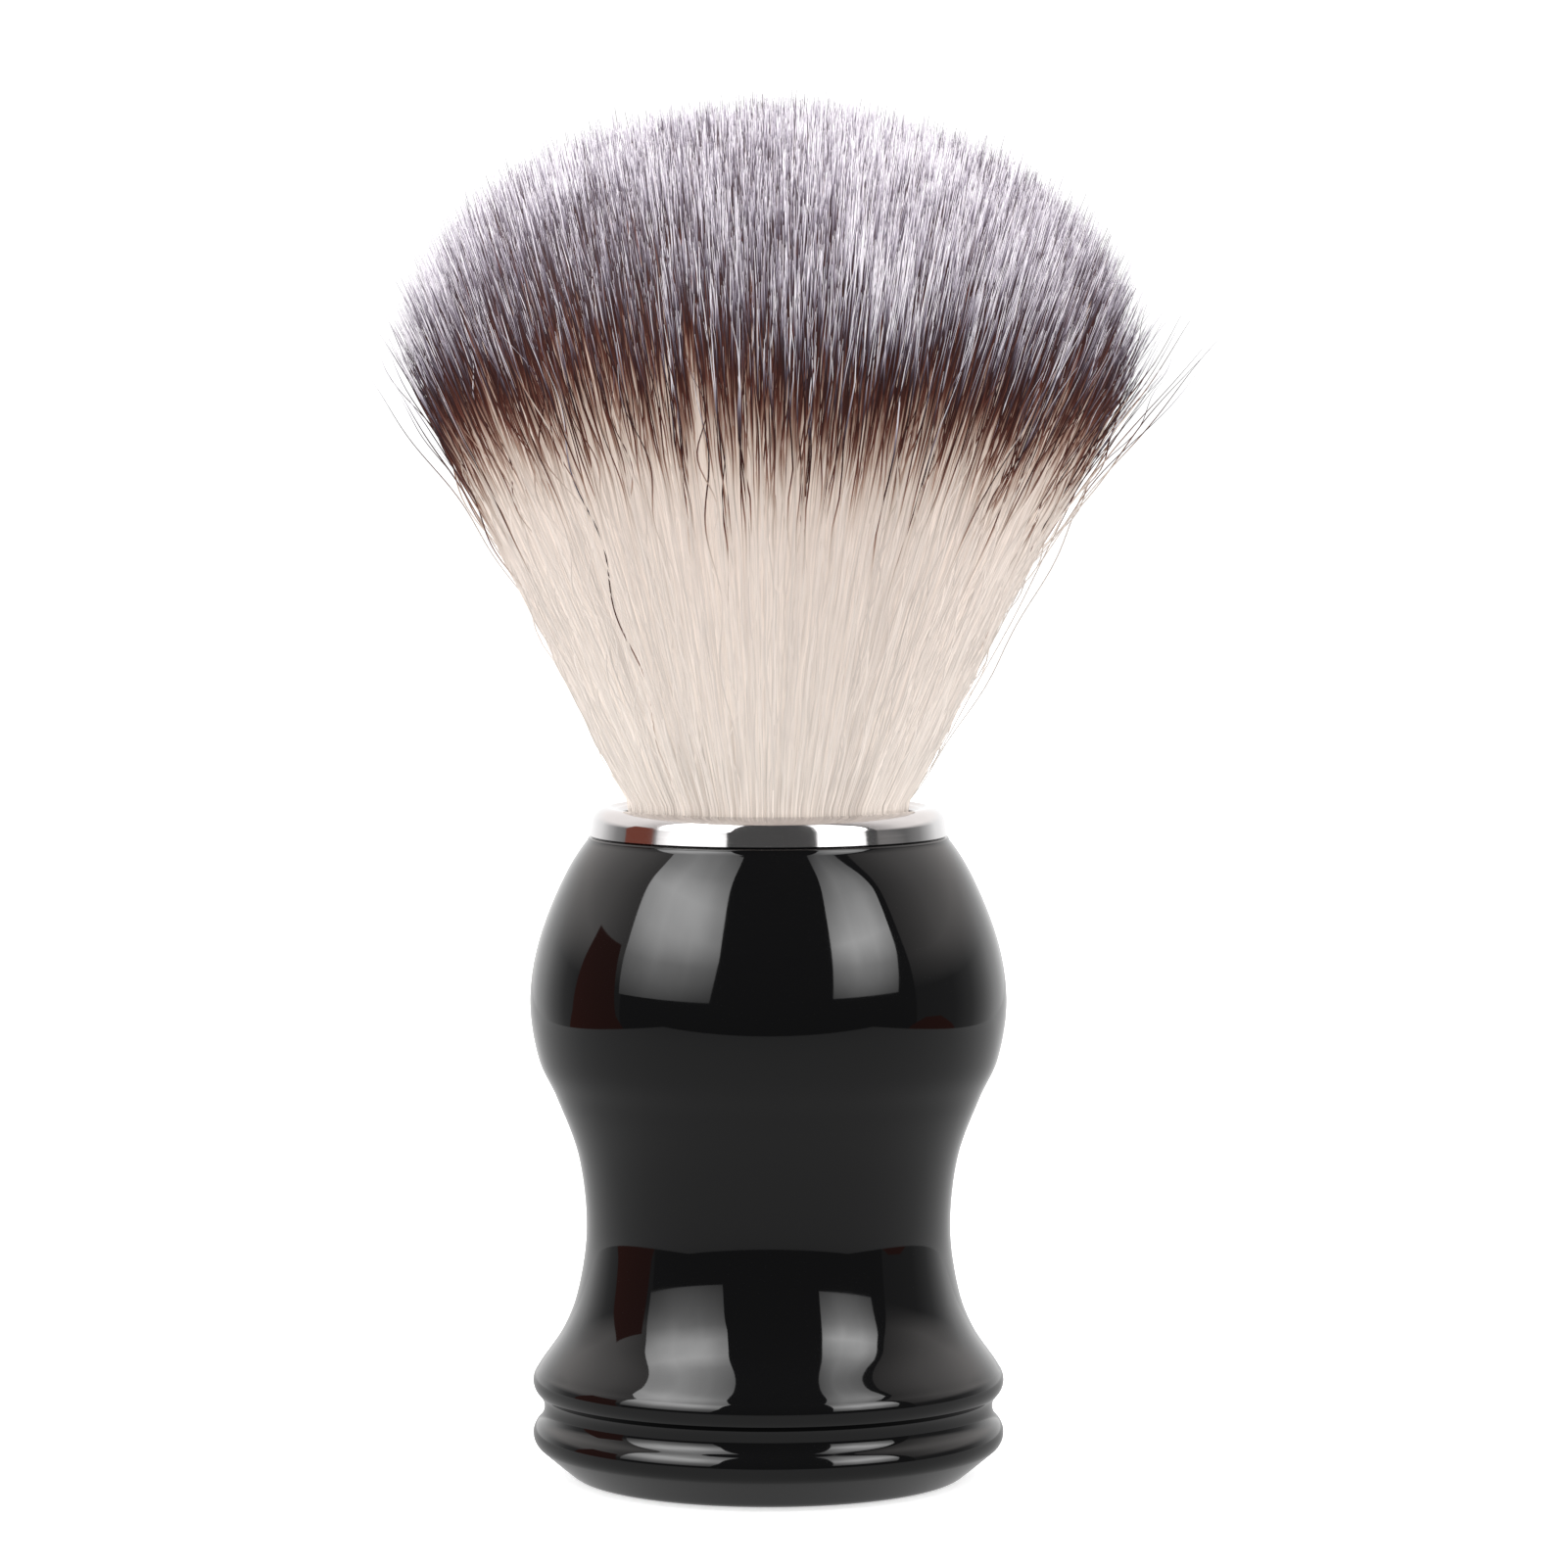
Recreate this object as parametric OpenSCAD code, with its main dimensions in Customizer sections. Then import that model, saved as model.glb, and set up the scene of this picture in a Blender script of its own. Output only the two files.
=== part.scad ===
// Shaving brush: a turned black handle with a chrome collar, and a glued-in knot of synthetic fibres.
// Millimetres, +Z up. The origin is the centre of the flat foot.

/* [Handle] */
// Height of the black handle, from the flat foot to the collar's seat
handle_h = 51.6; // [51.3:0.1:54]
// Radius of the flat foot
foot_r = 14.85; // [14.5:0.05:15.2]
// Rounding between the foot and the sloping underside
foot_round = 1.8; // [1.2:0.1:2]
// Radius at the widest point of the bulb
bulb_r = 19.15; // [18.6:0.05:19.8]
// Height of the widest point of the bulb
bulb_z = 38.4; // [37.5:0.1:39.5]
// Radius at the narrowest point of the waist
waist_r = 14.65; // [14:0.05:15.4]
// Height of the narrowest point of the waist
waist_z = 20.2; // [19:0.1:21.5]
// Radius of the black body just under the collar
neck_r = 14.5; // [14.4:0.05:15]
// Rounding of the body's top edge
neck_round = 0.2; // [0.2:0.05:0.4]

/* [Beads] */
// Radius of the handle at the crown of the upper bead
upper_bead_r = 18.95; // [18.9:0.01:19.1]
// Height of the upper bead's crown
upper_bead_z = 7.82; // [7.78:0.01:7.9]
// Radius of the handle at the crown of the lower bead
lower_bead_r = 18.95; // [18.9:0.01:19.1]
// Height of the lower bead's crown
lower_bead_z = 3.55; // [3.5:0.01:3.6]
// Rounding of the lower bead
lower_bead_round = 1.5; // [1.45:0.01:1.6]
// Radius of the handle at the bottom of the groove between the beads
groove_r = 18.05; // [17.9:0.05:18.1]
// Slope of the underside below the lower bead, in degrees from upright
underside_slope = 52; // [50:0.5:54]

/* [Socket and weight] */
// Radius of the knot's socket
socket_r = 12.5; // [12.4:0.05:12.6]
// Height of the socket's floor
socket_floor_z = 38.4; // [37:0.1:38.8]
// Radius of the counterbore that takes the collar's spigot
spigot_bore_r = 13.15; // [13.1:0.05:13.2]
// Height of the counterbore's step
spigot_step_z = 46; // [45.5:0.1:47]
// Radius of the weight's cavity
cavity_r = 9.5; // [9:0.1:10]
// Height of the cavity's roof
cavity_roof_z = 21.5; // [20:0.1:23]
// Radius of the plug's flange
plug_r = 13.4; // [13:0.1:13.6]
// Thickness of the plug's flange
plug_flange_h = 1.6; // [1.4:0.1:1.8]
// Height of the plug's spigot above the flange
plug_spigot_h = 1.6; // [1.2:0.1:2]

/* [Collar] */
// Outer radius of the collar at its lower edge
collar_r = 14.3; // [14.2:0.05:14.4]
// Height of the collar above its seat
collar_h = 2.4; // [2.2:0.05:2.6]
// Rounding of the collar's outer shoulder
collar_shoulder = 1.4; // [1.2:0.05:1.5]
// How far the mouth's edge lies below the collar's crest
mouth_drop = 0.2; // [0.1:0.05:0.3]
// Radius of the collar's mouth
mouth_r = 11.95; // [11.9:0.05:12]
// Rounding of the mouth's edge
mouth_round = 0.45; // [0.35:0.05:0.5]
// Wall of the collar's spigot
spigot_wall = 0.5; // [0.45:0.05:0.55]

/* [Knot] */
// Outer radius of the cup round the fibres' roots
ferrule_r = 12.15; // [12.1:0.05:12.2]
// Wall of the cup
ferrule_wall = 0.5; // [0.45:0.05:0.6]
// Floor of the cup
ferrule_floor = 0.6; // [0.5:0.1:0.8]
// Height of the cup's rim above its underside
ferrule_h = 11.8; // [11:0.1:12.2]
// Depth of the cast resin in the cup
resin_h = 4.35; // [4:0.05:4.5]
// Diameter of the binding cord
cord_d = 0.6; // [0.5:0.05:0.7]
// Number of turns of the binding cord
cord_turns = 5; // [3:1:6]

/* [Bristles] */
// Radius of the bundle at the collar's crest
throat_r = 11.6; // [11.4:0.05:11.7]
// Radius of the fan of fibres at the rim of the dome
fan_r = 29.6; // [27:0.1:32]
// Height of the dome's rim
rim_z = 91.5; // [88:0.5:96]
// Height of the dome's top
top_z = 110; // [106:0.1:114]
// Share of the fan's widening that follows a smooth S instead of a straight line
fan_bend = 0.1; // [0:0.05:0.35]
// Height of the centre that the bundle bends about
bend_z = 60; // [59:0.5:61]
// Radius, from that centre, where the steady roots end and the belly starts
belly_start_r = 19; // [18.5:0.1:20]
// Radius, from that centre, where the belly ends and the crown starts
crown_start_r = 30; // [28:0.5:32]

/* [Quality] */
// Steps in each stretch of a drawn curve
curve_steps = 6; // [4:1:8]
// Sides of the round surfaces on screen
round_steps = 96; // [48:12:144]
// Sides of the binding cord on screen
cord_sides = 32; // [16:8:48]

/* [Hidden] */
$fn = round_steps;

slip = 0.05;                // clearance between pieces that are glued or pressed together
flex_gap = 0.3;             // clearance between the solids that turn past each other
edge = 0.2;                 // small bevel on hidden edges
past = 1;                   // how far a cut runs past the face it opens
weight_gap = 0.2;           // clearance round the weight
glue_bed = 0.5;             // glue under the knot's cup
cord_inset = 0.13;          // clearance between the binding cord and the cup's wall
cord_lift = 0.9;            // height of the cord's first turn above the resin
collar_edge = 0.15;         // bevel of the collar's lower edge
collar_lead = 5;            // where the collar's shoulder starts to curve, in degrees above level
collar_throat_h = 0.6;      // height of the slope between the collar's spigot and its mouth
mouth_skirt = 0.4;          // how far the mouth's wall runs down into the body
flare_tilt = 38;            // where the upper bead's circle hands over to the flare, in degrees
bead_lead = 20;             // where, below the bead's crown, the curve that sets the flare's start begins
neck_lead = [-3.2, 3.6];    // way that the shoulder's curve leaves the body at the neck
fan_steps = 12;             // steps in the fan's side, and in its dome

collar_crest_z = handle_h + collar_h;
plug_top_z = plug_flange_h + plug_spigot_h;
weight_r = cavity_r - weight_gap;
ferrule_z = socket_floor_z + glue_bed;
ferrule_rim_z = ferrule_z + ferrule_h;
ferrule_bore_r = ferrule_r - ferrule_wall;
resin_top_z = ferrule_z + ferrule_floor + slip + resin_h;
cord_track_r = ferrule_bore_r - cord_inset - cord_d / 2;
cord_start_z = resin_top_z + cord_lift;
cord_end_z = cord_start_z + (cord_turns - 1) * cord_d;

// The groove's circle touches the lower bead's circle, and the upper bead's circle touches the groove's.
groove_z = (upper_bead_z + lower_bead_z) / 2;
lower_bead_c = [lower_bead_r - lower_bead_round, lower_bead_z];
groove_round = touching_round(lower_bead_c, lower_bead_round, [groove_r, groove_z], 1);
groove_c = [groove_r + groove_round, groove_z];
upper_bead_round = touching_round(groove_c, groove_round, [upper_bead_r, upper_bead_z], -1);
upper_bead_c = [upper_bead_r - upper_bead_round, upper_bead_z];

// Radius of a circle whose crown is at the point tip, on the side away from its centre, and which
// touches a given circle from outside. side is 1 when its centre is outward of tip, -1 when inward.
function touching_round(c, r, tip, side) =
    let (dx = tip.x - c.x, dz = tip.y - c.y)
    (r * r - dx * dx - dz * dz) / (2 * (side * dx - r));

// Direction from one point to another, in degrees
function heading(a, b) = atan2(b.y - a.y, b.x - a.x);

// Points along an arc, from one angle to another
function arc(c, r, from, to, steps) =
    [for (i = [0:steps]) let (a = from + (to - from) * i / steps) c + r * [cos(a), sin(a)]];

// Points between two stations: each entry of shares is [share of the rise, share of the widening]
function between(a, b, shares) =
    [for (s = shares) [a.x + (b.x - a.x) * s.y, a.y + (b.y - a.y) * s.x]];

// One point of a smooth curve through b and c, with a and d as their neighbours
function curve_point(a, b, c, d, t) =
    0.5 * (2 * b + (c - a) * t + (2 * a - 5 * b + 4 * c - d) * t * t + (3 * b - a - 3 * c + d) * t * t * t);

// A smooth curve through the stations. The first and the last station only set its end directions.
function smooth_curve(p, steps) =
    [for (i = [1:len(p) - 3], k = [0:steps - 1]) curve_point(p[i - 1], p[i], p[i + 1], p[i + 2], k / steps)];

// Where the long curve of flare, waist and bulb starts, and the station just before it on the bead
flare_start = upper_bead_c + upper_bead_round * [cos(flare_tilt), sin(flare_tilt)];
flare_lead = upper_bead_c + upper_bead_round * [cos(bead_lead), -sin(bead_lead)];
waist = [waist_r, waist_z];
bulb = [bulb_r, bulb_z];
neck = [neck_r, handle_h - neck_round];

// How the long curve runs between its stations, as [share of the rise, share of the widening]
flare_shares = [[0.27, 0.52], [0.56, 0.835]];
belly_shares = [[0.31, 0.135], [0.57, 0.52], [0.75, 0.85]];
shoulder_shares = [[0.365, 0.15], [0.74, 0.555]];

long_curve = smooth_curve(concat(
    [flare_lead, flare_start],
    between(flare_start, waist, flare_shares),
    [waist],
    between(waist, bulb, belly_shares),
    [bulb],
    between(bulb, neck, shoulder_shares),
    [neck, neck + neck_lead]), curve_steps);

groove_low = heading(lower_bead_c, groove_c);
groove_high = heading(groove_c, upper_bead_c);

// The handle's outline from the foot up to the collar's seat
handle_outline = concat(
    arc([foot_r, foot_round], foot_round, -90, -underside_slope, curve_steps),
    arc(lower_bead_c, lower_bead_round, -underside_slope, groove_low, 2 * curve_steps),
    arc(groove_c, groove_round, 180 + groove_low, groove_high, 2 * curve_steps),
    arc(upper_bead_c, upper_bead_round, groove_high - 180, flare_tilt, 2 * curve_steps),
    [for (i = [1:len(long_curve) - 1]) long_curve[i]],
    arc(neck - [neck_round, 0], neck_round, 0, 90, curve_steps));

// Radius of the fibre bundle's outside at height z, from the throat to the rim of the dome
function fan_radius(z) =
    let (t = (z - collar_crest_z) / (rim_z - collar_crest_z), s = t * t * (3 - 2 * t))
    throat_r + (fan_r - throat_r) * ((1 - fan_bend) * t + fan_bend * s);

// The bundle's outline above the throat: the fan's side and then the dome
fan_outline = concat(
    [for (i = [0:fan_steps]) let (z = collar_crest_z + (rim_z - collar_crest_z) * i / fan_steps)
        [fan_radius(z), z]],
    [for (i = [1:fan_steps]) let (a = 90 * i / fan_steps) [fan_r * cos(a), rim_z + (top_z - rim_z) * sin(a)]]);

// A solid of revolution from points of [radius, height]
module turned(points) {
    rotate_extrude() polygon(points);
}

// A ball about the centre that the bundle bends about
module bend_ball(r) {
    translate([0, 0, bend_z]) sphere(r = r);
}

// The whole visible fan of fibres as one solid
module fan() {
    turned(concat([[0, collar_crest_z]], fan_outline));
}

module handle_shell() {
    color([0.02, 0.02, 0.022])
    difference() {
        turned(concat([[0, 0]], handle_outline, [[0, handle_h]]));
        translate([0, 0, socket_floor_z]) cylinder(r = socket_r, h = handle_h);
        translate([0, 0, spigot_step_z]) cylinder(r = spigot_bore_r, h = handle_h);
        translate([0, 0, -past]) cylinder(r = cavity_r, h = cavity_roof_z + past);
        translate([0, 0, -past]) cylinder(r = plug_r + slip, h = plug_flange_h + past);
    }
}

module base_weight() {
    z0 = plug_top_z + slip;
    z1 = cavity_roof_z - slip;
    color([0.55, 0.56, 0.58])
    turned([[0, z0], [weight_r - edge, z0], [weight_r, z0 + edge], [weight_r, z1 - edge],
        [weight_r - edge, z1], [0, z1]]);
}

module base_plug() {
    spigot_r = cavity_r - slip;
    color([0.04, 0.04, 0.042])
    turned([[0, 0], [plug_r - edge, 0], [plug_r, edge], [plug_r, plug_flange_h - slip],
        [spigot_r, plug_flange_h - slip], [spigot_r, plug_top_z - edge], [spigot_r - edge, plug_top_z],
        [0, plug_top_z]]);
}

module socket_adhesive() {
    outer = socket_r - slip / 2;
    inner = ferrule_r + slip / 2;
    floor_top = ferrule_z - slip / 2;
    rim = spigot_step_z - 2 * slip;
    color([0.78, 0.72, 0.5])
    turned([[0, socket_floor_z + slip / 2], [outer, socket_floor_z + slip / 2], [outer, rim], [inner, rim],
        [inner, floor_top], [0, floor_top]]);
}

module collar_ring() {
    seat_r = collar_r - collar_edge;
    shoulder_c = [seat_r - collar_shoulder, collar_crest_z - collar_shoulder];
    mouth_c = [mouth_r + mouth_round, collar_crest_z - mouth_drop - mouth_round];
    spigot_out = spigot_bore_r - slip;
    spigot_in = spigot_out - spigot_wall;
    color([0.82, 0.82, 0.84])
    turned(concat(
        [[spigot_in, spigot_step_z + slip], [spigot_out, spigot_step_z + slip], [spigot_out, handle_h],
            [seat_r, handle_h], [collar_r, handle_h + collar_edge]],
        arc(shoulder_c, collar_shoulder, collar_lead, 90, 2 * curve_steps),
        arc(mouth_c, mouth_round, 90, 180, curve_steps),
        [[mouth_r, handle_h - mouth_skirt], [spigot_in, handle_h - mouth_skirt - collar_throat_h]]));
}

module knot_ferrule() {
    color([0.9, 0.9, 0.88])
    difference() {
        translate([0, 0, ferrule_z]) cylinder(r = ferrule_r, h = ferrule_h);
        translate([0, 0, ferrule_z + ferrule_floor]) cylinder(r = ferrule_bore_r, h = ferrule_h);
    }
}

module knot_resin() {
    z0 = ferrule_z + ferrule_floor + slip;
    color([0.85, 0.8, 0.62])
    translate([0, 0, z0]) cylinder(r = ferrule_bore_r - slip, h = resin_h);
}

module binding_cord() {
    color([0.9, 0.87, 0.78])
    rotate_extrude()
    for (i = [0:cord_turns - 1])
        translate([cord_track_r, cord_start_z + i * cord_d]) circle(d = cord_d + slip, $fn = cord_sides);
}

module bristle_roots() {
    tie_r = cord_track_r - cord_d / 2 - slip;
    tie_low = cord_start_z - cord_d;
    tie_high = cord_end_z + cord_d;
    foot = ferrule_bore_r - 2 * slip;
    color([0.9, 0.86, 0.8])
    intersection() {
        turned(concat(
            [[0, resin_top_z + slip], [foot, resin_top_z + slip], [foot, tie_low - edge], [tie_r, tie_low],
                [tie_r, tie_high], [foot - edge, tie_high + 2 * edge]],
            fan_outline));
        union() {
            bend_ball(belly_start_r);
            translate([0, 0, socket_floor_z]) cylinder(r = socket_r, h = bend_z - socket_floor_z);
        }
    }
}

module bristle_belly() {
    color([0.88, 0.83, 0.78])
    difference() {
        intersection() {
            fan();
            bend_ball(crown_start_r);
        }
        bend_ball(belly_start_r + flex_gap);
    }
}

module bristle_crown() {
    color([0.75, 0.68, 0.76])
    difference() {
        fan();
        bend_ball(crown_start_r + flex_gap);
    }
}

handle_shell();
base_weight();
base_plug();
socket_adhesive();
collar_ring();
knot_ferrule();
knot_resin();
binding_cord();
bristle_roots();
bristle_belly();
bristle_crown();
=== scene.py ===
"""Studio scene of a shaving brush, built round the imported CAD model. All lengths are in metres."""

import copy
import math

import bpy
import numpy as np
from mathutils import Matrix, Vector


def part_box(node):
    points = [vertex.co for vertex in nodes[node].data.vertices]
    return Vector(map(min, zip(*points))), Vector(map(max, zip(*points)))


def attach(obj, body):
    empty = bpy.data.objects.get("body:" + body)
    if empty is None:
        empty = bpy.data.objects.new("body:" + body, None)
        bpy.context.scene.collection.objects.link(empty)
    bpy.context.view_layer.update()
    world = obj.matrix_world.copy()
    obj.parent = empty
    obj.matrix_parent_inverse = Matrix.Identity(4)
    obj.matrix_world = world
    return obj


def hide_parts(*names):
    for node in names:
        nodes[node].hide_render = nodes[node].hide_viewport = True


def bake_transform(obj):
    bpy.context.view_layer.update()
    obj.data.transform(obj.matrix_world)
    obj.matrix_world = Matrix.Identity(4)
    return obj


MM = 0.001
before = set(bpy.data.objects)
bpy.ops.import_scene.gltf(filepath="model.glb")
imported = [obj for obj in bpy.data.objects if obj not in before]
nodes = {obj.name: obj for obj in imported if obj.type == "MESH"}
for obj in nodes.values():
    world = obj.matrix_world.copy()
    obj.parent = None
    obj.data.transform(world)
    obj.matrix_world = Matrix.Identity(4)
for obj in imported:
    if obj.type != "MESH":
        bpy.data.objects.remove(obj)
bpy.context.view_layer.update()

# ---------------------------------------------------------------- camera

CAMERA_DISTANCE = 500 * MM
CAMERA_HEIGHT = 88.2 * MM
CAMERA_SIDE = 1.25 * MM
CAMERA_PITCH = math.radians(3.71)
CAMERA_LENS_MM = 143.6
CAMERA_SENSOR_MM = 36

# ---------------------------------------------------------------- the bundle's measures

COLLAR_CREST_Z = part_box("collar_ring")[1].z
TOP_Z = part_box("bristle_crown")[1].z
FAN_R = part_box("bristle_crown")[1].x
RIM_Z = 91.5 * MM            # where the fan's side ends and the dome starts
THROAT_R = 11.5 * MM         # outermost fibres where they leave the collar
FAN_BEND = 0.1               # share of the widening that follows a smooth S
THROAT_PINCH = 0.5 * MM      # how far the collar draws the fibres in, and how soon that is over
PINCH_REACH = 2.2 * MM
DOME_H = TOP_Z - RIM_Z
SPLIT_Z = 68 * MM            # the fibres are cut here, between the two blends
FIBRE_FOOT_Z = 50 * MM       # where the drawn fibres start, inside the collar
SEED = 7


# ---------------------------------------------------------------- node helpers

def new_material(name):
    """A material with nodes, as (material, its tree, its Principled shader)."""
    made = bpy.data.materials.new(name)
    made.use_nodes = True
    return made, made.node_tree, made.node_tree.nodes["Principled BSDF"]


def add(tree, kind, settings=None, **inputs):
    """A node of that kind. An underscore in an input's name stands for a space."""
    made = tree.nodes.new(kind)
    for key, value in (settings or {}).items():
        setattr(made, key, value)
    for key, value in inputs.items():
        feed(tree, made.inputs[key.replace("_", " ")], value)
    return made


def feed(tree, socket, value):
    """Links a socket to the input, or sets the input's own value."""
    if isinstance(value, bpy.types.NodeSocket):
        tree.links.new(value, socket)
    else:
        socket.default_value = value


def calc(tree, operation, first, second=0.0):
    """The result of a Math node."""
    made = add(tree, "ShaderNodeMath", {"operation": operation})
    feed(tree, made.inputs[0], first)
    feed(tree, made.inputs[1], second)
    return made.outputs[0]


def spread(tree, value, low, high, to_low, to_high):
    """value mapped from the range low..high to the range to_low..to_high, and kept inside it."""
    made = add(tree, "ShaderNodeMapRange", Value=value,
               From_Min=low, From_Max=high, To_Min=to_low, To_Max=to_high)
    return made.outputs[0]


def ramp(tree, value, stops):
    """A colour ramp's colour. stops are (place, (red, green, blue))."""
    made = add(tree, "ShaderNodeValToRGB", Fac=value)
    elements = made.color_ramp.elements
    while len(elements) < len(stops):
        elements.new(0.5)
    for element, (place, colour) in zip(elements, stops):
        element.position = place
        element.color = (*colour, 1)
    return made.outputs[0]


def noise(tree, place, scale, detail, roughness=0.5):
    """The grey value of a noise texture."""
    made = add(tree, "ShaderNodeTexNoise", Vector=place, Scale=scale, Detail=detail, Roughness=roughness)
    return made.outputs["Fac"]


def mix(tree, share, first, second, blend="MIX"):
    """Two colours mixed."""
    made = add(tree, "ShaderNodeMix", {"data_type": "RGBA", "blend_type": blend})
    feed(tree, made.inputs[0], share)
    feed(tree, made.inputs[6], first)
    feed(tree, made.inputs[7], second)
    return made.outputs[2]


def bump(tree, height, distance):
    """A normal tilted by the height given, which is 0 to 1 over the distance in metres."""
    return add(tree, "ShaderNodeBump", Height=height, Distance=distance, Strength=1.0).outputs[0]


def object_place(tree):
    """The point on the object, in metres."""
    return add(tree, "ShaderNodeTexCoord").outputs["Object"]


# ---------------------------------------------------------------- materials

def gloss_black():
    """Polished black plastic with faint ripple, fine rubbing marks and a few specks of dust."""
    made, tree, shader = new_material("gloss_black")
    place = object_place(tree)
    rubbed = noise(tree, place, 160, 5, 0.65)
    shader.inputs["IOR"].default_value = 1.47
    feed(tree, shader.inputs["Roughness"], spread(tree, rubbed, 0.35, 0.75, 0.025, 0.06))
    from_cell = add(tree, "ShaderNodeTexVoronoi", Vector=place, Scale=330).outputs["Distance"]
    small = calc(tree, "LESS_THAN", from_cell, 0.07)
    sparse = calc(tree, "GREATER_THAN", noise(tree, place, 210, 1), 0.7)
    on_speck = calc(tree, "MULTIPLY", small, sparse)
    black, dust = (0.0018, 0.0018, 0.002, 1), (0.2, 0.2, 0.19, 1)
    feed(tree, shader.inputs["Base Color"], mix(tree, on_speck, black, dust))
    ripple = noise(tree, place, 55, 1)
    feed(tree, shader.inputs["Normal"], bump(tree, ripple, 0.02 * MM))
    return made


def polished_chrome():
    """Chrome plate with faint turning lines and finger marks."""
    made, tree, shader = new_material("polished_chrome")
    place = object_place(tree)
    shader.inputs["Metallic"].default_value = 1
    smudge = noise(tree, place, 140, 4)
    feed(tree, shader.inputs["Roughness"], spread(tree, smudge, 0.4, 0.7, 0.04, 0.13))
    tone = ramp(tree, smudge, [(0.3, (0.70, 0.69, 0.69)), (0.7, (0.62, 0.60, 0.60))])
    feed(tree, shader.inputs["Base Color"], tone)
    lines = turning_lines(tree, place, 2600)
    feed(tree, shader.inputs["Normal"], bump(tree, lines, 0.002 * MM))
    return made


def turning_lines(tree, place, scale):
    """Fine rings round the axis, as a lathe or a polishing wheel leaves them."""
    parts = add(tree, "ShaderNodeSeparateXYZ", Vector=place)
    across = calc(tree, "MULTIPLY", parts.outputs[0], parts.outputs[0])
    along = calc(tree, "MULTIPLY", parts.outputs[1], parts.outputs[1])
    radius = calc(tree, "SQRT", calc(tree, "ADD", across, along))
    path = calc(tree, "ADD", radius, parts.outputs[2])
    rings = add(tree, "ShaderNodeTexNoise", {"noise_dimensions": "1D"}, W=path, Scale=scale, Detail=2.0)
    return rings.outputs["Fac"]


def satin_black():
    """Moulded satin plastic for the plug, with a fine grain and rings from its tool."""
    made, tree, shader = new_material("satin_black")
    place = object_place(tree)
    grain = noise(tree, place, 2200, 3)
    tone = ramp(tree, grain, [(0.3, (0.012, 0.012, 0.013)), (0.8, (0.03, 0.03, 0.031))])
    feed(tree, shader.inputs["Base Color"], tone)
    feed(tree, shader.inputs["Roughness"], spread(tree, grain, 0.3, 0.7, 0.32, 0.5))
    relief = calc(tree, "ADD", grain, turning_lines(tree, place, 900))
    feed(tree, shader.inputs["Normal"], bump(tree, relief, 0.02 * MM))
    return made


def turned_steel():
    """Bare turned bar for the weight, with tool rings and a little oil staining."""
    made, tree, shader = new_material("turned_steel")
    place = object_place(tree)
    stain = noise(tree, place, 220, 5)
    rings = turning_lines(tree, place, 1400)
    shader.inputs["Metallic"].default_value = 1
    tone = ramp(tree, stain, [(0.35, (0.50, 0.49, 0.47)), (0.75, (0.33, 0.30, 0.27))])
    feed(tree, shader.inputs["Base Color"], tone)
    feed(tree, shader.inputs["Roughness"], spread(tree, rings, 0.2, 0.8, 0.22, 0.42))
    feed(tree, shader.inputs["Normal"], bump(tree, rings, 0.02 * MM))
    return made


def cast(name, pale, deep, rough, scale, relief):
    """A cast or moulded plastic, cloudy between two colours."""
    made, tree, shader = new_material(name)
    place = object_place(tree)
    cloud = noise(tree, place, scale, 5, 0.6)
    feed(tree, shader.inputs["Base Color"], ramp(tree, cloud, [(0.3, pale), (0.72, deep)]))
    feed(tree, shader.inputs["Roughness"], spread(tree, cloud, 0.3, 0.7, rough, rough + 0.2))
    feed(tree, shader.inputs["Normal"], bump(tree, cloud, relief))
    return made


def laid_cord():
    """Cotton cord: a slanting twist and loose nap."""
    made, tree, shader = new_material("laid_cord")
    place = object_place(tree)
    parts = add(tree, "ShaderNodeSeparateXYZ", Vector=place)
    turn = calc(tree, "ARCTAN2", parts.outputs[1], parts.outputs[0])
    round_axis = calc(tree, "MULTIPLY", turn, 160)
    up = calc(tree, "MULTIPLY", parts.outputs[2], 9000)
    twist = calc(tree, "SINE", calc(tree, "ADD", round_axis, up))
    nap = noise(tree, place, 5000, 4)
    tone = ramp(tree, nap, [(0.3, (0.78, 0.72, 0.60)), (0.75, (0.58, 0.51, 0.40))])
    feed(tree, shader.inputs["Base Color"], tone)
    shader.inputs["Roughness"].default_value = 0.85
    shader.inputs["Sheen Weight"].default_value = 0.3
    feed(tree, shader.inputs["Normal"], bump(tree, calc(tree, "ADD", twist, nap), 0.05 * MM))
    return made


FIBRE_MAP = "OFBake"          # the export keeps a map of this name, and its colours then stay on each fibre
MAP_SPAN = 44 * MM            # the fibres' map is 1 at the tip, and 0 this far below it
SHADE_COLUMNS = 128           # and is cut into this many columns, each with a shade of its own
MAP_EDGE = 0.002              # nothing is mapped nearer than this to its two ends


def band(below_tip_mm):
    """Where a distance below the tip lies on the fibres' map."""
    return 1 - below_tip_mm * MM / MAP_SPAN


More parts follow.
